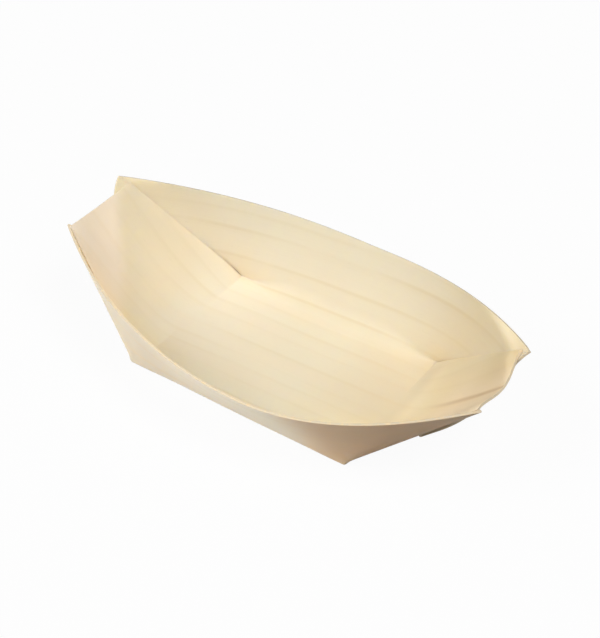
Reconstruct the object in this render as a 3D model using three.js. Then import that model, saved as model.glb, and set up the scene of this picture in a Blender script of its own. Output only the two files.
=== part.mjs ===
// Food boat folded from one sheet of wood veneer.
//
// Each end of the blank has two slits. The tongue between them is bent up as the end wall, and the two
// corner flaps beside it are folded round behind the tongue, where they cross and are held by two dabs of
// glue. Millimetres, +Z up. The boat stands on z = 0 with its length along X. The near side is -Y, the far
// side +Y.

import * as THREE from 'three';

// Veneer, boat and floor
const veneerThickness = 0.6;
const boatLength = 140;
const boatWidth = 78;
const floorLength = 72.8;
const floorWidth = 50.4;

// End walls: upper corners of the tongues, soft bend across the grain, and outward bow of the top edge
const endCorners = {
  near: { setBack: 1.65, fromCentreLine: 11.75, height: 26.9 },
  far: { setBack: 3.25, fromCentreLine: 12.25, height: 28.7 },
};
const endBendReach = 14;
const endBendFade = 2;
const endBow = 2.2;

// Horns: how far each side wall's corner stands out past the end wall's corner, along the seam
const hornRise = { near: 0.5, far: 3.9 };

// Bellies: the widest and lowest point of each rim, a little off the middle towards +X, and the curves from
// there to the horns
const bellies = {
  near: { outward: 0.9, height: 21.5, shift: 12 },
  far: { outward: -0.8, height: 20.3, shift: 4 },
};
const rimPlanPower = 2.1;
const rimHeightPower = 1.7;
const seamPull = 8;

// Slits beside a tongue, and flaps: where a flap starts on its seam, where its tip lies behind the end
// wall, and the bow of the edge from horn to tip
const slitWidth = { root: 1.2, top: 0.4 };
const flapStart = 4.5;
const flapTip = { beyondMiddle: 13.6, up: 23.5 };
const flapEdgeBow = { inner: 3.3, outer: -0.6 };
const flapStepOver = 3.2;

// Layers of an end close up towards the top edge, from this height along the end wall
const pressedFrom = 31;
const pressedGap = 0.1;

// Glue dabs between the layers of an end
const glueThickness = 0.2;
const glueClearance = 0.14;
const innerGlue = { radius: 7, towardsInnerFlap: 3.5, up: 23 };
const outerGlue = { radius: 5.5, towardsInnerFlap: 0, up: 22 };

// Divisions of the sheet's panels and of a glue dab
const wallSteps = 28;
const cornerSteps = 4;
const seamSteps = 12;
const endWallSteps = { across: 16, up: 12 };
const rootCrowding = 1.2;
const flapSteps = 14;
const firstFlapTurn = 0.14;
const glueSteps = { rings: 3, sectors: 28 };

// Step for slopes, and the grid on which points of neighbouring panels count as one
const nudge = 1e-3;
const mergeGrid = 1e-4;

// Distance from the middle of one layer to the middle of the next
const layerPitch = veneerThickness + glueThickness + 2 * glueClearance;

const sideName = (side) => (side < 0 ? 'near' : 'far');
const smooth = (value) => THREE.MathUtils.smoothstep(value, 0, 1);
const rising = (first, second) => first - second;
const evenSteps = (count, from, to) =>
  Array.from({ length: count + 1 }, (_, i) => THREE.MathUtils.lerp(from, to, i / count));

// End wall: a tongue that is creased sharply at its slits, and softly bent and bowed out in its middle.
// Each slit runs into the floor, so that the tongue rises one layer inside the flaps.
// across runs from -1 at the near slit to 1 at the far slit, up from 0 at the floor to 1 at the top edge.

const endRun = (boatLength - floorLength) / 2 - endCorners.near.setBack;
const endSlope = Math.atan2(endCorners.near.height, endRun);
const slitRun = layerPitch / Math.sin(endSlope);
const tongueRoot = { fromMiddle: floorLength / 2 - slitRun, halfWidth: floorWidth / 2 - slitWidth.root };

function endRootCorner(end, side) {
  return new THREE.Vector3(end * tongueRoot.fromMiddle, side * tongueRoot.halfWidth, veneerThickness / 2);
}

function endTopCorner(end, side) {
  const corner = endCorners[sideName(side)];
  const fromMiddle = boatLength / 2 - corner.setBack;
  return new THREE.Vector3(end * fromMiddle, side * corner.fromCentreLine, corner.height);
}

function endWallPoint(end, across, up) {
  const share = (across + 1) / 2;
  const softness = Math.max(0, 1 - across * across) ** endBendFade;
  const root = endRootCorner(end, -1).lerp(endRootCorner(end, 1), share);
  const top = endTopCorner(end, -1).lerp(endTopCorner(end, 1), share);
  top.x += end * Math.sin(endSlope) * endBow * softness;
  top.z -= Math.cos(endSlope) * endBow * softness;
  const straight = root.clone().lerp(top, 0.5);
  const rolled = new THREE.Vector3(root.x + end * endBendReach, straight.y, root.z);
  return new THREE.QuadraticBezierCurve3(root, straight.lerp(rolled, softness), top).getPoint(up);
}

function endOutward(end, across, up) {
  const sideways = endWallPoint(end, across + nudge, up).sub(endWallPoint(end, across - nudge, up));
  const upwards = endWallPoint(end, across, up + nudge).sub(endWallPoint(end, across, up - nudge));
  const outward = sideways.cross(upwards).normalize();
  return outward.z > 0 ? outward.negate() : outward;
}

function endLayer(end, across, up, depth) {
  return endWallPoint(end, across, up).addScaledVector(endOutward(end, across, up), depth);
}

// Flap: a fan of lines from the seam's root, one layer behind the end wall.
// The outer flap of an end steps over the inner one. turn runs from 0 at the seam to 1 at the slit.

const endEdge = (side) => endRootCorner(1, side).distanceTo(endTopCorner(1, side));
const endHeight = (endEdge(-1) + endEdge(1)) / 2;
const endTopHalfWidth = (endCorners.near.fromCentreLine + endCorners.far.fromCentreLine) / 2;
const endHalfWidth = (up) => THREE.MathUtils.lerp(tongueRoot.halfWidth, endTopHalfWidth, up);
const seamLength = (side) => endEdge(side) + hornRise[sideName(side)];

const seamAcross = {
  root: 1 + slitWidth.root / tongueRoot.halfWidth,
  top: 1 + slitWidth.top / endTopHalfWidth,
};
const tipUp = flapTip.up / endHeight;
const tipAcross = -flapTip.beyondMiddle / endHalfWidth(tipUp);

function layerDepth(up) {
  const pressed = smooth((up * endHeight - pressedFrom) / (endHeight - pressedFrom));
  return THREE.MathUtils.lerp(layerPitch, veneerThickness + pressedGap, pressed);
}

function flapPoint(end, side, turn, reach) {
  const place = end === side ? 'outer' : 'inner';
  const bow = (4 * turn * (1 - turn) * flapEdgeBow[place]) / endHeight;
  const edge = {
    across: THREE.MathUtils.lerp(seamAcross.top, tipAcross, turn),
    up: THREE.MathUtils.lerp(seamLength(side) / endEdge(side), tipUp, turn) + bow,
  };
  const across = THREE.MathUtils.lerp(seamAcross.root, edge.across, reach);
  const up = edge.up * reach;
  const seam = THREE.MathUtils.lerp(seamAcross.root, seamAcross.top, reach);
  const fromSeam = (seam - across) * endHalfWidth(up);
  const beforeCrossing = reach * (1 - tipAcross);
  const stepOver = place === 'outer' ? smooth(fromSeam / flapStepOver) * smooth(beforeCrossing) : 0;
  return endLayer(end, side * across, up, layerDepth(up) * (1 + stepOver));
}

// Side wall: straight lines from the floor's long edge up to the curved rim, whose ends are the horns.
// The lines crowd together at the floor's corners, where the wall bends round to its seams like a cone.
// along runs from -1 at the left seam to 1 at the right seam, up from 0 at the floor to 1 at the rim.

const footAt = (along) => (Math.sin((along * Math.PI) / 2) * floorLength) / 2;
const alongAt = (foot) => (Math.asin(foot / (floorLength / 2)) * 2) / Math.PI;
const horns = { near: flapPoint(1, -1, 0, 1), far: flapPoint(1, 1, 0, 1) };

function rimPoint(side, along) {
  const horn = horns[sideName(side)];
  const belly = bellies[sideName(side)];
  const x = along * horn.x;
  const share = Math.abs(x - belly.shift) / (x < belly.shift ? horn.x + belly.shift : horn.x - belly.shift);
  const bellyHalfWidth = boatWidth / 2 + belly.outward;
  const halfWidth = THREE.MathUtils.lerp(bellyHalfWidth, side * horn.y, share ** rimPlanPower);
  const height = THREE.MathUtils.lerp(belly.height, horn.z, share ** rimHeightPower);
  return new THREE.Vector3(x, side * halfWidth, height);
}

function straightWallPoint(side, along, up) {
  const foot = new THREE.Vector3(footAt(along), (side * floorWidth) / 2, veneerThickness / 2);
  return foot.lerp(rimPoint(side, along), up);
}

// The wall's ends follow the flaps' seams, from the point where a flap starts
function wallPoint(side, along, up) {
  const end = along < 0 ? -1 : 1;
  const toSeam = flapPoint(end, side, 0, up).sub(straightWallPoint(side, end, up));
  const pull = smooth((up * seamLength(side)) / flapStart) * along ** seamPull;
  return straightWallPoint(side, along, up).addScaledVector(toSeam, pull);
}

// Sheet: panels of a middle surface joined along their shared edges, then given the veneer's thickness

class Sheet {
  constructor() {
    this.points = [];
    this.normals = [];
    this.indexOf = new Map();
    this.quads = [];
  }

  vertex(point, normal) {
    const key = point.toArray().map((value) => Math.round(value / mergeGrid)).join();
    if (!this.indexOf.has(key)) {
      this.indexOf.set(key, this.points.length);
      this.points.push(point);
      this.normals.push([]);
    }
    const index = this.indexOf.get(key);
    const sameFacing = (other) => other.distanceTo(normal) < nudge;
    if (!this.normals[index].some(sameFacing)) {
      this.normals[index].push(normal);
    }
    return index;
  }

  // Adds the surface place(u, v) on the rising lines us and vs, its upper face towards the boat's inside
  panel(place, us, vs) {
    const inside = new THREE.Vector3(0, 0, 2 * endCorners.far.height);
    const normalAt = (u, v) => {
      const alongU = place(u + nudge, v).sub(place(u - nudge, v));
      const alongV = place(u, v + nudge).sub(place(u, v - nudge));
      return alongU.cross(alongV).normalize();
    };
    const middle = [us[us.length >> 1], vs[vs.length >> 1]];
    const facing = Math.sign(normalAt(...middle).dot(inside.sub(place(...middle))));
    const pointAt = (u, v) => this.vertex(place(u, v), normalAt(u, v).multiplyScalar(facing));
    const grid = us.map((u) => vs.map((v) => pointAt(u, v)));
    for (let i = 1; i < us.length; i += 1) {
      for (let j = 1; j < vs.length; j += 1) {
        const quad = [grid[i - 1][j - 1], grid[i][j - 1], grid[i][j], grid[i - 1][j]];
        this.quads.push(facing > 0 ? quad : quad.reverse());
      }
    }
  }

  // Half the thickness at a point, mitred where two panels meet at a crease
  halfThickness(index) {
    const first = this.normals[index][0];
    const second = this.normals[index][1] ?? first;
    const bisector = first.clone().add(second);
    return bisector.multiplyScalar(veneerThickness / 2 / (1 + first.dot(second)));
  }

  geometry() {
    const count = this.points.length;
    const offsets = this.points.map((_, index) => this.halfThickness(index));
    const upper = this.points.map((point, index) => point.clone().add(offsets[index]));
    const lower = this.points.map((point, index) => point.clone().sub(offsets[index]));
    const triangles = [];
    const addQuad = (a, b, c, d) => triangles.push(a, b, c, a, c, d);
    const directed = new Set();
    for (const quad of this.quads) {
      const [a, b, c, d] = quad;
      addQuad(a, b, c, d);
      addQuad(a + count, d + count, c + count, b + count);
      quad.forEach((from, i) => directed.add(`${from},${quad[(i + 1) % 4]}`));
    }
    for (const edge of directed) {
      const [from, to] = edge.split(',').map(Number);
      if (!directed.has(`${to},${from}`)) {
        addQuad(from + count, to + count, to, from);
      }
    }
    const geometry = new THREE.BufferGeometry().setFromPoints([...upper, ...lower]);
    geometry.setIndex(triangles);
    geometry.computeVertexNormals();
    return geometry;
  }
}

function veneerSheet() {
  const sheet = new Sheet();
  const rootAlong = alongAt(tongueRoot.fromMiddle);
  const alongs = evenSteps(wallSteps, -rootAlong, rootAlong);
  const cornerAlongs = evenSteps(cornerSteps, rootAlong, 1);
  const wallAlongs = [...cornerAlongs.map((along) => -along), ...alongs, ...cornerAlongs].sort(rising);
  const acrosses = evenSteps(endWallSteps.across, -1, 1);
  const ups = evenSteps(endWallSteps.up, 0, 1).map((value) => value ** rootCrowding);
  const turns = [0, ...evenSteps(flapSteps, firstFlapTurn, 1)];

  const floorPoint = (along, y) => new THREE.Vector3(footAt(along), y, veneerThickness / 2);
  const floorYs = acrosses.map((across) => across * tongueRoot.halfWidth);
  sheet.panel(floorPoint, alongs, [-floorWidth / 2, ...floorYs, floorWidth / 2]);

  for (const side of [-1, 1]) {
    const reaches = evenSteps(seamSteps, flapStart / seamLength(side), 1);
    sheet.panel((along, up) => wallPoint(side, along, up), [...new Set(wallAlongs)], [0, ...reaches]);
    for (const end of [-1, 1]) {
      const besideSlit = [side * tongueRoot.halfWidth, (side * floorWidth) / 2];
      const cornerLines = cornerAlongs.map((along) => end * along);
      sheet.panel(floorPoint, cornerLines.sort(rising), besideSlit.sort(rising));
      sheet.panel((turn, reach) => flapPoint(end, side, turn, reach), turns, reaches);
    }
  }
  for (const end of [-1, 1]) {
    sheet.panel((across, up) => endWallPoint(end, across, up), acrosses, ups);
  }
  return sheet.geometry();
}

// Glue: a flat round drop pressed between two layers, following the end's surface at the given depth

function glueDab(end, dab, depth) {
  const edge = glueThickness / 2;
  const profile = [new THREE.Vector2(0, -edge)];
  for (const share of evenSteps(glueSteps.rings, 0, 1).slice(1)) {
    profile.push(new THREE.Vector2(share * (dab.radius - edge), -edge));
  }
  profile.push(new THREE.Vector2(dab.radius, 0));
  for (const share of evenSteps(glueSteps.rings, 1, 0)) {
    profile.push(new THREE.Vector2(share * (dab.radius - edge), edge));
  }
  const geometry = new THREE.LatheGeometry(profile, glueSteps.sectors);
  const position = geometry.getAttribute('position');
  for (let i = 0; i < position.count; i += 1) {
    const up = (dab.up + position.getZ(i)) / endHeight;
    const across = (position.getX(i) - end * dab.towardsInnerFlap) / endHalfWidth(up);
    const point = endLayer(end, across, up, depth - end * position.getY(i));
    position.setXYZ(i, point.x, point.y, point.z);
  }
  geometry.computeVertexNormals();
  return geometry;
}

// Assembly

const boat = new THREE.Group();

function addPiece(name, geometry, material) {
  const mesh = new THREE.Mesh(geometry, material);
  mesh.name = name;
  boat.add(mesh);
}

const wood = { color: 0xecdcb9, roughness: 0.78, metalness: 0 };
const glue = { color: 0xe6d3a3, roughness: 0.4, metalness: 0 };

addPiece('veneer_sheet', veneerSheet(), new THREE.MeshStandardMaterial(wood));
for (const [endName, end] of [['right', 1], ['left', -1]]) {
  const innerDab = glueDab(end, innerGlue, layerPitch / 2);
  const outerDab = glueDab(end, outerGlue, (3 * layerPitch) / 2);
  addPiece(`${endName}_inner_glue`, innerDab, new THREE.MeshStandardMaterial(glue));
  addPiece(`${endName}_outer_glue`, outerDab, new THREE.MeshStandardMaterial(glue));
}

export default boat;
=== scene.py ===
import math

import bpy
import numpy as np
from mathutils import Matrix, Vector


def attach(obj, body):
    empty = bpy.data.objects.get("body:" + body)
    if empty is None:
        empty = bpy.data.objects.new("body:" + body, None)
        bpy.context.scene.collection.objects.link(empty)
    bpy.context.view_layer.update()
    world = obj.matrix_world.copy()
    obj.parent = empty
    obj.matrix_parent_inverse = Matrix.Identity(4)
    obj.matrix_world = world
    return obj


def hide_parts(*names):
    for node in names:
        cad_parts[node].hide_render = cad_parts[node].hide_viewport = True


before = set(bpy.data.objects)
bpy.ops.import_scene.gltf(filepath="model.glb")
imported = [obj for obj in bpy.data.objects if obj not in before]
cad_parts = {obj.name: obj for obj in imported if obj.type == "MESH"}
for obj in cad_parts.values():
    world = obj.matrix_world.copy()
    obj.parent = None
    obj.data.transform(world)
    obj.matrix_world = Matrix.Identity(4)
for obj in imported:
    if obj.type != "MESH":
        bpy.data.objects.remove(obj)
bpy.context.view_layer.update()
print("frame loaded:", ", ".join(sorted(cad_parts)))


# The folded sheet. All its lengths are in millimetres, as on a drawing of it.
# Near is the side of -Y, far the side of +Y. An end is -1 for the left and 1 for the right.

boat = dict(
    veneer=0.6, length=140.0, width=78.0, floorLength=72.8, floorWidth=50.4,
    near=dict(setBack=1.65, fromCentre=11.75, height=26.9, rise=1.1, outward=0.9, belly=21.5, shift=12.0),
    far=dict(setBack=3.25, fromCentre=12.25, height=28.7, rise=3.9, outward=-0.8, belly=20.3, shift=4.0),
    bendReach=14.0, bendFade=2.0, endBow=2.2,
    planPower=2.1, heightPower=1.7, seamPull=8,
    slitRoot=0.6, slitTop=0.36, flapStart=4.5, tipBeyond=13.6, tipUp=23.5, stepOver=3.2,
    innerBow=3.3, outerBow=-0.6,
    layerPitch=1.08, pressedPitch=0.7, pressedFrom=31.0,   # layers of an end, pressed closer near the top
    seamPitch=0.68, seamReach=4.0,                         # and along the folds at the seams
    stepAfter=3.5, closeFrom=0.6, closeTo=0.85,            # outer flap: how late it steps over near the top
    tuck=1.4, tuckOver=2.0,                                # right end: near flap ends below the end wall
    growRoot=0.4, growTop=0.65, growFrom=0.12,             # how far the end wall's edges reach into the slits
    hornRound={-1: 0.15, 1: 0.4}, hornReach=1.7,           # blunted tips of the horns
    softNear=2.0, softFar=5.5, softCorner=0.75,            # how softly floor and side walls meet
    softFrom=16.0, softTo=34.0,                            # from here on out the crease gets sharper
    blankWall=27.0,                                        # height of a side wall on the flat blank
)
# how many rows of points each part of the sheet has, and how near two rows may come
steps = dict(floor=97, corner=17, across=57, wall=31, crease=15, tight=7, turn=34, endUp=45)
closest = 0.02
sharpFrom = 42          # folds from this angle on, in degrees, are shaded as edges
blankUnit = 100         # one unit of the blank's UV map
mm = 0.001


def lerp(a, b, t):
    return a + (b - a) * t


def smooth(t):
    t = np.clip(t, 0.0, 1.0)
    return t * t * (3 - 2 * t)


def stack(x, y, z):
    return np.stack(np.broadcast_arrays(x, y, z), -1).astype(float)


sideOf = {-1: boat["near"], 1: boat["far"]}
halfFloor = boat["floorLength"] / 2
halfWide = boat["floorWidth"] / 2
midZ = boat["veneer"] / 2
endRun = (boat["length"] - boat["floorLength"]) / 2 - boat["near"]["setBack"]
endSlope = math.atan2(boat["near"]["height"], endRun)
rootX = halfFloor - boat["layerPitch"] / math.sin(endSlope)
rootHalf = halfWide - boat["slitRoot"]
topHalf = (boat["near"]["fromCentre"] + boat["far"]["fromCentre"]) / 2


def endWall(end, across, up):
    # tongue bent up as the end wall: sharp at its slits, softly rolled in its middle
    near, far = boat["near"], boat["far"]
    share = (across + 1) / 2
    soft = np.maximum(0.0, 1 - across ** 2) ** boat["bendFade"]
    rootY = rootHalf * across
    topX = end * (boat["length"] / 2 - lerp(near["setBack"], far["setBack"], share)
                  + math.sin(endSlope) * boat["endBow"] * soft)
    topY = lerp(-near["fromCentre"], far["fromCentre"], share)
    topZ = lerp(near["height"], far["height"], share) - math.cos(endSlope) * boat["endBow"] * soft
    turnX = lerp((end * rootX + topX) / 2, end * (rootX + boat["bendReach"]), soft)
    turnZ = lerp((midZ + topZ) / 2, midZ, soft)
    a, b, c = (1 - up) ** 2, 2 * up * (1 - up), up ** 2
    return stack(a * end * rootX + b * turnX + c * topX,
                 a * rootY + b * (rootY + topY) / 2 + c * topY,
                 a * midZ + b * turnZ + c * topZ)


def endLayer(end, across, up, depth):
    step = 1e-3
    sideways = endWall(end, across + step, up) - endWall(end, across - step, up)
    upwards = endWall(end, across, up + step) - endWall(end, across, up - step)
    out = np.cross(sideways, upwards)
    out /= np.linalg.norm(out, axis=-1, keepdims=True)
    out *= np.where(out[..., 2:3] > 0, -1.0, 1.0)
    return endWall(end, across, up) + out * np.asarray(depth)[..., None]


def endEdge(side):
    s = sideOf[side]
    top = (boat["length"] / 2 - s["setBack"], s["fromCentre"], s["height"])
    return math.dist((rootX, rootHalf, midZ), top)


def seamLength(side):
    return endEdge(side) + sideOf[side]["rise"]


endHeight = (endEdge(-1) + endEdge(1)) / 2
seamRoot = 1 + boat["slitRoot"] / rootHalf
seamTop = 1 + boat["slitTop"] / topHalf
tipUp = boat["tipUp"] / endHeight
tipAcross = -boat["tipBeyond"] / lerp(rootHalf, topHalf, tipUp)
flapEdge = math.hypot(topHalf + boat["tipBeyond"], endHeight - boat["tipUp"])


def layerDepth(up):
    pressed = smooth((up * endHeight - boat["pressedFrom"]) / (endHeight - boat["pressedFrom"]))
    return lerp(boat["layerPitch"], boat["pressedPitch"], pressed)


def flap(end, side, turn, reach):
    # fan behind the end wall; the outer flap of an end steps over the inner one
    bow = 4 * turn * (1 - turn) * boat["outerBow" if end == side else "innerBow"] / endHeight
    edgeAcross = lerp(seamTop, tipAcross, turn)
    edgeUp = lerp(seamLength(side) / endEdge(side), tipUp, turn) + bow
    across = lerp(seamRoot, edgeAcross, reach)
    up = edgeUp * reach
    fromSeam = (lerp(seamRoot, seamTop, reach) - across) * lerp(rootHalf, topHalf, up)
    first = lerp(boat["seamPitch"], layerDepth(up), smooth(fromSeam / boat["seamReach"]))
    if end != side:
        return endLayer(end, side * across, up, first)
    close = boat["stepAfter"] * smooth((up - boat["closeFrom"]) / (boat["closeTo"] - boat["closeFrom"]))
    second = smooth((fromSeam - close) / boat["stepOver"]) * smooth(reach * (1 - tipAcross))
    return endLayer(end, side * across, up, first + second * layerDepth(up))


horns = {side: flap(1, side, np.zeros(1), np.ones(1))[0] for side in (-1, 1)}


def footAt(along):
    return np.sin(along * math.pi / 2) * halfFloor


def rim(side, along):
    s, horn = sideOf[side], horns[side]
    x = along * horn[0]
    share = np.abs(x - s["shift"]) / np.where(x < s["shift"], horn[0] + s["shift"], horn[0] - s["shift"])
    y = lerp(boat["width"] / 2 + s["outward"], side * horn[1], share ** boat["planPower"])
    return stack(x, side * y, lerp(s["belly"], horn[2], share ** boat["heightPower"]))


def plainWall(side, along, up):
    foot = stack(footAt(along), side * halfWide, midZ)
    return lerp(foot, rim(side, along), np.asarray(up)[..., None])


def wall(side, along, up):
    # straight lines from the floor's long edge to the rim, pulled onto the seams at both ends
    along, up = np.broadcast_arrays(along, up)
    toSeam = np.zeros(along.shape + (3,))
    for end in (-1, 1):
        shift = flap(end, side, np.zeros(up.shape), up) - plainWall(side, np.full(up.shape, float(end)), up)
        toSeam += np.where((along * end > 0)[..., None], shift, 0.0)
    pull = smooth(up * seamLength(side) / boat["flapStart"]) * along ** boat["seamPull"]
    return plainWall(side, along, up) + toSeam * pull[..., None]


def hornTrim(end, fromHorn):
    blunt = np.where(np.asarray(end) < 0, boat["hornRound"][-1], boat["hornRound"][1])
    return blunt * np.exp(-(fromHorn / boat["hornReach"]) ** 2)


def creaseSoftness(side, x):
    outwards = smooth((np.abs(x) - boat["softFrom"]) / (boat["softTo"] - boat["softFrom"]))
    return lerp(boat["softFar" if side > 0 else "softNear"], boat["softCorner"], outwards)


def softPast(d, r):
    # zero before a crease, the distance past it after the crease, and rounded in between
    return np.where(d < -r, 0.0, np.where(d > r, d, (d + r) ** 2 / (4 * r)))


class Sheet:
    # panels of a middle surface, welded where they share points, then given the veneer's thickness
    corners = ((0, 0), (1, 0), (1, 1), (0, 1))
    around = [(dx, dy, dz) for dx in (0, -1, 1) for dy in (0, -1, 1) for dz in (0, -1, 1)]
    cell = 2e-3             # points in the same or a touching cell of this size are one

    def __init__(self):
        self.points, self.blank, self.facings, self.quads, self.at = [], [], [], [], {}

    def weld(self, point, blank):
        x, y, z = (round(c / self.cell) for c in point.tolist())
        for dx, dy, dz in self.around:
            known = self.at.get((x + dx, y + dy, z + dz))
            if known is not None:
                return known
        self.at[x, y, z] = len(self.points)
        self.points.append(point)
        self.blank.append(blank)
        self.facings.append([])
        return len(self.points) - 1

    def panel(self, grid, blank, keep=None):
        rows, cols = grid.shape[:2]
        keep = np.ones((rows - 1, cols - 1), bool) if keep is None else keep
        faces = np.cross(grid[1:, 1:] - grid[:-1, :-1], grid[:-1, 1:] - grid[1:, :-1]) * keep[..., None]
        i, j = rows // 2, cols // 2
        flip = np.dot(faces[i, j], np.array([0.0, 0.0, 2 * boat["far"]["height"]]) - grid[i, j]) < 0
        faces = -faces if flip else faces
        normals = np.zeros_like(grid)
        used = np.zeros((rows, cols), bool)
        for di, dj in self.corners:
            normals[di:rows - 1 + di, dj:cols - 1 + dj] += faces
            used[di:rows - 1 + di, dj:cols - 1 + dj] |= keep
        normals /= np.maximum(np.linalg.norm(normals, axis=-1, keepdims=True), 1e-12)
        index = np.full((rows, cols), -1)
        for i, j in zip(*np.nonzero(used)):
            index[i, j] = self.weld(grid[i, j], blank[i, j])
            self.facings[index[i, j]].append(normals[i, j])
        for i, j in zip(*np.nonzero(keep)):
            quad = list(dict.fromkeys(int(index[i + di, j + dj]) for di, dj in self.corners))
            if len(quad) > 2:
                self.quads.append(quad[::-1] if flip else quad)

    def mesh(self, name):
        count = len(self.points)
        points = np.array(self.points)
        offsets = np.zeros_like(points)
        for k, normals in enumerate(self.facings):
            first, second = normals[0], normals[-1]
            offsets[k] = (first + second) * (boat["veneer"] / 2 / (1 + np.dot(first, second)))
        verts = np.concatenate([points + offsets, points - offsets]) * mm
        faces, cut, directed = [], [], set()
        for q in self.quads:
            faces += [q, [k + count for k in reversed(q)]]
            directed.update(zip(q, q[1:] + q[:1]))
        for p, q in sorted(directed):
            if (q, p) not in directed:
                cut.append(len(faces))
                faces.append([p + count, q + count, q, p])
        mesh = bpy.data.meshes.new(name)
        mesh.from_pydata(verts.tolist(), [], faces)
        flat = np.array(self.blank + self.blank) / blankUnit
        loops = np.zeros(len(mesh.loops), int)
        mesh.loops.foreach_get("vertex_index", loops)
        mesh.uv_layers.new(name="blank").data.foreach_set("uv", flat[loops].ravel())
        slots = np.arange(len(faces)) % 2       # 0 faces inside the boat, 1 faces outside
        slots[cut] = 2                          # 2 is the cut edge
        mesh.polygons.foreach_set("material_index", slots)
        mesh.shade_smooth()
        mesh.set_sharp_from_angle(angle=math.radians(sharpFrom))
        mesh.update()
        return mesh


def buildVeneer():
    sheet = Sheet()
    tall = boat["blankWall"]
    rootAlong = math.asin(rootX / halfFloor) * 2 / math.pi
    corner = 1 - (1 - rootAlong) * (1 - np.linspace(0, 1, steps["corner"])[1:]) ** 1.5
    alongs = np.concatenate([-corner[::-1], np.linspace(-rootAlong, rootAlong, steps["floor"]), corner])
    even = np.linspace(-1, 1, steps["across"])
    acrosses = lerp(even, np.sin(even * math.pi / 2), 0.35)       # somewhat closer rows near the slits
    reaches = {side: np.linspace(boat["flapStart"] / seamLength(side), 1, steps["wall"]) for side in (-1, 1)}
    tight = np.linspace(-boat["softCorner"], boat["softCorner"], steps["tight"])

    def pastCrease(side):
        soft = boat["softFar" if side > 0 else "softNear"]
        return np.concatenate([np.linspace(-soft, soft, steps["crease"]), tight, reaches[side] * tall])

    # floor and both side walls are one run of the blank, from rim to rim
    vs = np.concatenate([-pastCrease(-1) - halfWide, acrosses * rootHalf, pastCrease(1) + halfWide])
    vs = np.unique(np.round(vs, 6))
    vs = vs[np.concatenate([[True], np.diff(vs) > closest])]
    s, v = np.meshgrid(alongs, vs, indexing="ij")
    grid = stack(footAt(s), v, midZ)
    blank = np.stack([footAt(s), v], -1)
    for side in (-1, 1):
        d = side * v - halfWide
        r = creaseSoftness(side, footAt(s))
        lift = softPast(d, r)
        hornX = horns[side][0]
        up = lift / tall * (1 - hornTrim(np.sign(s), (1 - np.abs(s)) * hornX) / seamLength(side))
        raised = stack(footAt(s), side * (halfWide + d - lift), midZ)
        raised += wall(side, s, up) - wall(side, s, np.zeros(s.shape))
        grid = np.where((d > -r)[..., None], raised, grid)
        blank[..., 0] = np.where(d > -r, lerp(footAt(s), s * hornX, np.clip(up, 0, 1)), blank[..., 0])
    middle = np.abs((vs[1:] + vs[:-1]) / 2) < rootHalf
    beyond = np.abs((alongs[1:] + alongs[:-1]) / 2) > rootAlong
    sheet.panel(grid, blank, ~(beyond[:, None] & middle[None, :]))

    for side in (-1, 1):
        run = horns[side][0] - halfFloor
        turns = np.concatenate([[0, 0.035, 0.08], np.linspace(0.14, 1, steps["turn"])])    # closer at the fold
        past = np.sort((side * vs - halfWide) / tall)             # the side wall's rows, so that both meet
        turn, reach = np.meshgrid(turns, past[past > reaches[side][0] - 1e-4], indexing="ij")
        angle = math.atan2(tall, run) * (1 - turn)
        out = reach * math.hypot(tall, run)
        for end in (-1, 1):
            flatX = end * (halfFloor + out * np.cos(angle))
            flatY = side * (halfWide + out * np.sin(angle))
            trim = hornTrim(end, turn * flapEdge)
            if end > side:
                trim = trim + boat["tuck"] * smooth(turn * flapEdge / boat["tuckOver"])
            trimmed = reach * (1 - trim / seamLength(side))
            sheet.panel(flap(end, side, turn, trimmed), np.stack([flatX, flatY], -1))

    inner = vs[np.abs(vs) < rootHalf + closest] / rootHalf
    across, up = np.meshgrid(inner, np.linspace(0, 1, steps["endUp"]) ** 1.2, indexing="ij")
    grow = lerp(boat["growRoot"], boat["growTop"], up) * smooth(up / boat["growFrom"])
    for end in (-1, 1):
        tongue = endWall(end, across * (1 + grow / lerp(rootHalf, topHalf, up)), up)
        sheet.panel(tongue, np.stack([end * (rootX + up * endHeight), tongue[..., 1]], -1))
    piece = bpy.data.objects.new("veneerSheet", sheet.mesh("veneerSheet"))
    bpy.context.collection.objects.link(piece)
    return piece


# Node writing: a Wire is a socket that takes part in sums, a Finish is the node tree it lives in.

class Wire:
    def __init__(self, finish, socket):
        self.finish, self.socket = finish, socket

    def calc(self, operation, a, b=0.0):
        return self.finish.node("ShaderNodeMath", dict(operation=operation), {0: a, 1: b})

    def output(self, name):
        return Wire(self.finish, self.socket.node.outputs[name])

    def distance(self, other): return self.calc("ABSOLUTE", self - other)
    def atLeast(self, other): return self.calc("MAXIMUM", self, other)
    def __add__(self, other): return self.calc("ADD", self, other)
    def __radd__(self, other): return self.calc("ADD", other, self)
    def __sub__(self, other): return self.calc("SUBTRACT", self, other)
    def __rsub__(self, other): return self.calc("SUBTRACT", other, self)
    def __mul__(self, other): return self.calc("MULTIPLY", self, other)
    def __rmul__(self, other): return self.calc("MULTIPLY", other, self)
    def __truediv__(self, other): return self.calc("DIVIDE", self, other)
    def __rtruediv__(self, other): return self.calc("DIVIDE", other, self)


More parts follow.
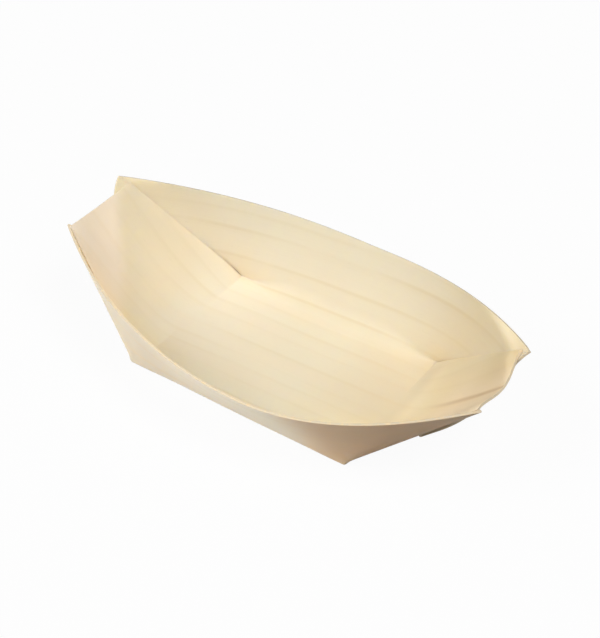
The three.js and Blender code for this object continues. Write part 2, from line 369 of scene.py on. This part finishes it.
class Finish:
    def __init__(self, tree):
        self.tree = tree
        tree.nodes.clear()

    def node(self, kind, settings=None, values=None, out=0):
        made = self.tree.nodes.new(kind)
        for key, value in (settings or {}).items():
            setattr(made, key, value)
        for key, value in (values or {}).items():
            target = made.inputs[key]
            if isinstance(value, Wire):
                self.tree.links.new(value.socket, target)
            elif isinstance(value, tuple) and len(value) < len(target.default_value):
                target.default_value = (*value, 1)
            else:
                target.default_value = value
        return Wire(self, made.outputs[out]) if len(made.outputs) else None

    def between(self, value, low, high):
        return self.node("ShaderNodeMapRange", dict(interpolation_type="SMOOTHSTEP"),
                         {"Value": value, "From Min": low, "From Max": high})

    def mix(self, factor, a, b):
        return self.node("ShaderNodeMix", dict(data_type="RGBA"), {0: factor, 6: a, 7: b}, out=2)

    def noise(self, u, v, along, across, seed, detail=2.0, rough=0.5):
        place = self.node("ShaderNodeCombineXYZ", None, {0: u * along, 1: v * across, 2: seed})
        return self.node("ShaderNodeTexNoise", None,
                         {"Vector": place, "Scale": 1.0, "Detail": detail, "Roughness": rough})

    def bump(self, height, strength, distance):
        return self.node("ShaderNodeBump", None,
                         {"Strength": strength, "Distance": distance, "Height": height})


def newMaterial(name):
    material = bpy.data.materials.new(name)
    material.use_nodes = True
    return material, Finish(material.node_tree)


def srgb(r, g, b):
    return tuple(((c / 255 + 0.055) / 1.055) ** 2.4 for c in (r, g, b))


# Wood, drawn on the flat blank so that the grain runs on through every fold

wood = dict(
    # peach and pale are painted light; straw where it tints the faces, the outer grey and the outer brown are
    # painted shade; on the cut edge straw is the fibres' own colour
    cream=srgb(242, 225, 196), rosy=srgb(243, 223, 194), paintedLightPale=srgb(252, 234, 210),
    paintedLightPeach=srgb(253, 225, 192), straw=srgb(237, 208, 154), late=srgb(222, 194, 142),
    pore=srgb(200, 170, 126), streakBrown=srgb(178, 136, 76), edge=srgb(214, 198, 172),
    outer=srgb(242, 227, 206), paintedShadeGrey=srgb(208, 197, 176), paintedShadeBrown=srgb(213, 187, 155),
    slant=0.042, slantFades=0.0012, slantFadesFrom=30.0,
    wanderNoise=dict(along=0.016, across=0.03, seed=3.1), wanderBy=2.4,
    lines=((50.0, 0.5), (44.2, 1.0), (34.7, 0.8), (25.8, 1.0), (18.6, 0.35),       # place and strength
           (13.4, 0.6), (8.2, 0.35), (1.6, 0.6), (-4.4, 0.35), (-8.6, 0.5),
           (-14.0, 0.4), (-20.5, 0.6), (-29.0, 0.7), (-38.0, 0.6), (-46.0, 0.6)),
    lineSpan=(0.1, 1.0), lineStrength=0.32, lineRough=0.06,
    shoulder=3.4, shoulderEnd=0.8, shoulderShare=0.4,
    lineNoise=dict(along=0.025, across=0.16, seed=8.3), lineFade=(0.2, 0.62),
    linesWeak=(-62.0, -40.0), linesLeft=0.5,         # weaker lines on the left end
    fibreNoise=dict(along=0.05, across=4.0, seed=5.2, rough=0.6),
    fibreFrom=0.35, fibreStrength=0.12, fibreRough=0.18,
    poreNoise=dict(along=0.4, across=6.0, seed=9.4, detail=1.0), poreSpan=(0.7, 0.8), poreStrength=0.15,
    patchNoise=dict(along=0.02, across=0.11, seed=2.2), patchSpan=(0.35, 0.65),
    edgeNoise=dict(along=0.9, across=3.0, seed=2.6), edgeSpan=(0.4, 0.75), edgeStraw=0.5, edgeRoughness=0.8,
    streakAt=4.1, streakBend=58.7, streakBendOver=18.0, streakBendBy=3.1,
    streakWidth=1.3, streakStarts=(46.0, 64.0), streakStrength=0.42,
    roughness=0.64, relief=0.00005,
    through=0.8, throughReach=0.0015, throughColours=(1.0, 0.85, 0.55),      # light passes the thin sheet
)

# Soft-edged areas of the blank, most of them where light or shade is painted into the colour, with the spans
# over which they rise and fall:
# u along the blank, v across it, d aslant over the left end wall, where a flap's edge lies behind it
areas = dict(
    leftEnd=dict(uFall=(-62.0, -40.0)),
    leftTop=dict(dFall=(-49.0, -44.0), vRise=(-25.5, -24.0)),
    leftFloor=dict(uRise=(-52.0, -38.0), uFall=(-34.0, -4.0)),
    nearLeft=dict(uFall=(-42.0, -12.0), vFall=(-18.0, -9.0)),
    farWall=dict(uRise=(-70.0, -50.0), uFall=(56.0, 72.0), vRise=(24.0, 34.0)),
    rightFarWall=dict(uRise=(26.0, 50.0), uFall=(56.0, 72.0), vRise=(24.0, 34.0)),
    rightFloor=dict(uRise=(4.0, 34.0), uFall=(37.0, 44.0), vRise=(-30.0, -22.0), vFall=(18.0, 27.0)),
    rightFloorFar=dict(uRise=(4.0, 34.0), uFall=(37.0, 44.0), vRise=(-14.0, -2.0), vFall=(18.0, 27.0)),
    nearRight=dict(uRise=(16.0, 30.0), vFall=(-28.0, -20.0)),
    rightEnd=dict(uRise=(26.0, 50.0)),
    rightEndNear=dict(uRise=(50.0, 62.0), vFall=(4.0, 14.0)),
    rightEndLayers=dict(uRise=(46.0, 58.0), vFall=(2.0, 18.0)),
    rightTop=dict(uRise=(60.0, 74.0), vRise=(2.0, 10.0)),
    rightTopEnd=dict(uRise=(60.0, 74.0), vRise=(2.0, 10.0), vFall=(28.0, 40.0)),
    farRightHorn=dict(uRise=(60.0, 74.0), vRise=(28.0, 40.0)),
    outsideMiddle=dict(uRise=(-38.0, 2.0)),
    outsideNearRight=dict(uRise=(18.0, 36.0), vFall=(-12.0, 12.0)),
    outsideNearHorn=dict(uRise=(46.0, 66.0), vFall=(-12.0, 12.0)),
)
aslant = (0.665, 0.748)

# Tints of the two faces, in the order in which they are laid on, and how much of each on which areas. All of
# them are painted light or painted shade, except the outside's own colour, which is laid over a painted grey
# shade.
# layered says where several layers lie on each other and let less light pass.
faceLooks = dict(
    insideFace=dict(
        ground="cream", patches="rosy",
        tints=(
            # painted light: the left end wall made paler and pinker
            ("paintedLightPeach", dict(leftEnd=0.9)),
            # painted light: the far wall, the left of the floor, the near top of the left end and the near
            # side of the right end made paler
            ("paintedLightPale", dict(farWall=0.6, leftTop=1.0, leftFloor=0.45, rightEndNear=0.8)),
            # painted shade: yellower and darker on the right end, the right of the floor, a band along the
            # near left crease and the right end's top
            ("straw", dict(rightEnd=0.45, rightFarWall=-0.2, rightEndNear=-0.08, rightFloor=0.35,
                           nearLeft=0.35, rightTopEnd=0.35)),
            # painted shade: grey darkening of the near right corner, the right of the floor, the far right
            # horn and the right end's top
            ("paintedShadeGrey", dict(nearRight=0.5, rightFloorFar=0.4, farRightHorn=0.45, rightTop=0.2)),
        ),
        layered=dict(leftTop=0.75, rightEndLayers=0.75)),
    outsideFace=dict(
        # painted shade: the outside's grey ground, left showing towards the left end where the outside's own
        # colour fades out
        ground="paintedShadeGrey", patches=None,
        tints=(
            ("outer", dict(outsideMiddle=1.0)),
            # painted shade: the near wall's outside browner towards its right end
            ("paintedShadeBrown", dict(outsideNearRight=1.0, outsideNearHorn=-0.2)),
        ),
        layered=None),
)


def blankPlace(f):
    # millimetres along and across the flat blank
    parts = f.node("ShaderNodeSeparateXYZ", None, {0: f.node("ShaderNodeUVMap", dict(uv_map="blank"))})
    return parts * blankUnit, parts.output("Y") * blankUnit


def grainPlace(f, u, v):
    # the grain runs a little askew and straightens out towards the right end
    past = (u - wood["slantFadesFrom"]).atLeast(0.0)
    wander = (f.noise(u, v, **wood["wanderNoise"]) - 0.5) * wood["wanderBy"]
    return v - u * wood["slant"] + past * past * wood["slantFades"] + wander


def growthLines(f, u, grain):
    # late wood: a thin line with a soft shoulder on one side, fading in and out along the grain
    total = 0.0
    for at, strength in wood["lines"]:
        off = grain - at
        line = 1 - f.between(off.distance(0.0), *wood["lineSpan"])
        shoulder = f.between(off, -wood["shoulder"], 0.0) * (1 - f.between(off, 0.0, wood["shoulderEnd"]))
        total = (line * (1 - wood["shoulderShare"]) + shoulder * wood["shoulderShare"]) * strength + total
    fade = f.between(f.noise(u, grain, **wood["lineNoise"]), *wood["lineFade"])
    return total * fade * (f.between(u, *wood["linesWeak"]) * (1 - wood["linesLeft"]) + wood["linesLeft"])


def brownStreak(f, u, v):
    # one brown line on the right end wall, bending off towards its top edge
    past = (u - wood["streakBend"]).atLeast(0.0) / wood["streakBendOver"]
    off = v.distance(wood["streakAt"] - past * past * wood["streakBendBy"])
    return (1 - f.between(off, 0.0, wood["streakWidth"])) * f.between(u, *wood["streakStarts"])


def area(f, u, v, name):
    edges = []
    for key, span in areas[name].items():
        if key[0] == "d":
            place = u * aslant[0] + v * aslant[1]
        else:
            place = u if key[0] == "u" else v
        ramp = f.between(place, *span)
        edges.append(ramp if key.endswith("Rise") else 1 - ramp)
    return math.prod(edges[1:], start=edges[0])


def cover(f, u, v, shares):
    # the areas summed up, each by its share
    parts = [area(f, u, v, name) * share for name, share in shares.items()]
    return sum(parts[1:], start=parts[0])


def veneerFace(name):
    face = faceLooks[name]
    material, f = newMaterial(name)
    u, v = blankPlace(f)
    grain = grainPlace(f, u, v)
    lines = growthLines(f, u, grain)
    fibre = f.noise(u, grain, **wood["fibreNoise"])
    pores = f.between(f.noise(u, grain, **wood["poreNoise"]), *wood["poreSpan"])
    colour = wood[face["ground"]]
    if face["patches"]:
        patches = f.between(f.noise(u, grain, **wood["patchNoise"]), *wood["patchSpan"])
        colour = f.mix(patches, colour, wood[face["patches"]])
    # the tints of the face, nearly all of them painted light or painted shade
    for tint, shares in face["tints"]:
        colour = f.mix(cover(f, u, v, shares), colour, wood[tint])
    colour = f.mix(lines * wood["lineStrength"], colour, wood["late"])
    colour = f.mix((fibre - wood["fibreFrom"]).atLeast(0.0) * wood["fibreStrength"], colour, wood["late"])
    colour = f.mix(pores * wood["poreStrength"], colour, wood["pore"])
    colour = f.mix(brownStreak(f, u, v) * wood["streakStrength"], colour, wood["streakBrown"])
    rough = wood["roughness"] + (fibre - 0.5) * wood["fibreRough"] + lines * wood["lineRough"]
    relief = f.bump(fibre * 0.6 + lines * 0.3 - pores * 0.8, 0.5, wood["relief"])

    def skin(through):
        return f.node("ShaderNodeBsdfPrincipled", None, {
            "Base Color": colour, "Roughness": rough, "Specular IOR Level": 0.3, "Normal": relief,
            "Subsurface Weight": through, "Subsurface Radius": wood["throughColours"],
            "Subsurface Scale": wood["throughReach"]})

    shader = skin(wood["through"])
    if face["layered"]:
        layered = cover(f, u, v, face["layered"])
        shader = f.node("ShaderNodeMixShader", None, {0: layered, 1: shader, 2: skin(0.0)})
    f.node("ShaderNodeOutputMaterial", None, {"Surface": shader})
    return material


def veneerEdge():
    # the cut edge shows the fibres cut through, a little darker than the faces
    material, f = newMaterial("veneerEdge")
    u, v = blankPlace(f)
    fibre = f.noise(u, v, **wood["edgeNoise"])
    colour = f.mix(f.between(fibre, *wood["edgeSpan"]) * wood["edgeStraw"], wood["edge"], wood["straw"])
    shader = f.node("ShaderNodeBsdfPrincipled", None, {
        "Base Color": colour, "Roughness": wood["edgeRoughness"] - fibre * 0.1, "Specular IOR Level": 0.25,
        "Normal": f.bump(fibre, 0.4, wood["relief"])})
    f.node("ShaderNodeOutputMaterial", None, {"Surface": shader})
    return material


veneer = buildVeneer()
veneer.data.materials.append(veneerFace("insideFace"))
veneer.data.materials.append(veneerFace("outsideFace"))
veneer.data.materials.append(veneerEdge())
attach(veneer, "root")
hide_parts("veneer_sheet")
print("veneer sheet:", len(veneer.data.vertices), "points,", len(veneer.data.polygons), "faces")


# Glue between the layers of the ends

glue = dict(clear=srgb(233, 214, 166), thick=srgb(205, 172, 112), roughness=0.3,
            cloudScale=420.0, cloudSpan=(0.35, 0.7), speckScale=2600.0, speckRough=0.25, relief=0.00005)


def driedGlue():
    material, f = newMaterial("driedGlue")
    place = f.node("ShaderNodeTexCoord", None, None, out="Object")
    cloud = f.node("ShaderNodeTexNoise", None, {"Vector": place, "Scale": glue["cloudScale"], "Detail": 3.0})
    specks = f.node("ShaderNodeTexNoise", None, {"Vector": place, "Scale": glue["speckScale"], "Detail": 1.0})
    colour = f.mix(f.between(cloud, *glue["cloudSpan"]), glue["clear"], glue["thick"])
    shader = f.node("ShaderNodeBsdfPrincipled", None, {
        "Base Color": colour, "Roughness": glue["roughness"] + specks * glue["speckRough"],
        "Normal": f.bump(cloud + specks * 0.3, 0.3, glue["relief"])})
    f.node("ShaderNodeOutputMaterial", None, {"Surface": shader})
    return material


glueFinish = driedGlue()
for end in ("right", "left"):
    for layer in ("inner", "outer"):
        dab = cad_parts[f"{end}_{layer}_glue"]
        dab.data.materials.clear()
        dab.data.materials.append(glueFinish)
print("glue dabs finished")


# Floor, light and camera, in metres

studio = dict(
    floorSize=6.0, floorBelow=-0.00005, floorColour=(0.32, 0.32, 0.32), floorWhite=0.9, floorGlow=1.06,
    worldLight=0.0, aim=(0.0, 0.0, 0.01),
    lamps=[
        dict(name="rightBox", at=(1.325, 0.0, 2.12), size=(1.1, 1.1), power=44.0),
        dict(name="leftBox", at=(-1.27, -1.27, 1.74), size=(1.1, 1.1), power=30.0),
        dict(name="frontBox", at=(0.0, -2.16, 1.25), size=(1.1, 1.1), power=7.0),
        dict(name="lowStrip", at=(-0.187, -0.296, 0.006), size=(0.16, 0.01), power=0.64),
    ],
)


def seenDirectly(f):
    ray = f.node("ShaderNodeLightPath", out="Is Camera Ray")
    return ray.atLeast(ray.output("Is Glossy Ray")).atLeast(ray.output("Is Transmission Ray"))


def paleFloor():
    material, f = newMaterial("paleFloor")
    paper = f.node("ShaderNodeBsdfDiffuse", None, {"Color": studio["floorColour"]})
    glow = f.node("ShaderNodeEmission", None, {"Color": (1, 1, 1), "Strength": studio["floorGlow"]})
    white = seenDirectly(f) * studio["floorWhite"]
    shader = f.node("ShaderNodeMixShader", None, {0: white, 1: paper, 2: glow})
    f.node("ShaderNodeOutputMaterial", None, {"Surface": shader})
    return material


def buildStudio():
    half = studio["floorSize"] / 2
    mesh = bpy.data.meshes.new("floor")
    mesh.from_pydata([(-half, -half, 0), (half, -half, 0), (half, half, 0), (-half, half, 0)], [],
                     [(0, 1, 2, 3)])
    mesh.materials.append(paleFloor())
    floor = bpy.data.objects.new("floor", mesh)
    floor.location.z = studio["floorBelow"]
    bpy.context.collection.objects.link(floor)

    world = bpy.data.worlds.new("studioWorld")
    world.use_nodes = True
    bpy.context.scene.world = world
    f = Finish(world.node_tree)
    light = f.node("ShaderNodeBackground", None, {"Color": (1, 1, 1), "Strength": studio["worldLight"]})
    white = f.node("ShaderNodeBackground", None, {"Color": (1, 1, 1), "Strength": 1.0})
    shader = f.node("ShaderNodeMixShader", None, {0: seenDirectly(f), 1: light, 2: white})
    f.node("ShaderNodeOutputWorld", None, {"Surface": shader})

    for lamp in studio["lamps"]:
        light = bpy.data.lights.new(lamp["name"], "AREA")
        light.shape = "RECTANGLE"
        light.size, light.size_y = lamp["size"]
        light.energy = lamp["power"]
        holder = bpy.data.objects.new(lamp["name"], light)
        holder.location = lamp["at"]
        holder.visible_camera = False
        towards = Vector(studio["aim"]) - Vector(lamp["at"])
        holder.rotation_euler = towards.to_track_quat("-Z", "Y").to_euler()
        bpy.context.collection.objects.link(holder)


eye = dict(turn=35.42, height=38.97, away=0.50046, across=0.00361, up=0.01282,
           focal=1754.87, imageWidth=600, sensor=36)      # focal length in pixels of the image


def buildCamera():
    turn, height = math.radians(eye["turn"]), math.radians(eye["height"])
    back = Vector((math.sin(turn) * math.cos(height), -math.cos(turn) * math.cos(height), math.sin(height)))
    right = Vector((math.cos(turn), math.sin(turn), 0))
    up = back.cross(right)
    camera = bpy.data.cameras.new("camera")
    camera.sensor_fit = "HORIZONTAL"
    camera.sensor_width = eye["sensor"]
    camera.lens = eye["focal"] * eye["sensor"] / eye["imageWidth"]
    camera.clip_start = 0.01
    holder = bpy.data.objects.new("camera", camera)
    at = back * eye["away"] + right * eye["across"] + up * eye["up"]
    holder.matrix_world = Matrix.Translation(at) @ Matrix((right, up, back)).transposed().to_4x4()
    bpy.context.collection.objects.link(holder)
    bpy.context.scene.camera = holder


buildStudio()
buildCamera()
bpy.context.scene.view_settings.view_transform = "Standard"
print("studio ready")
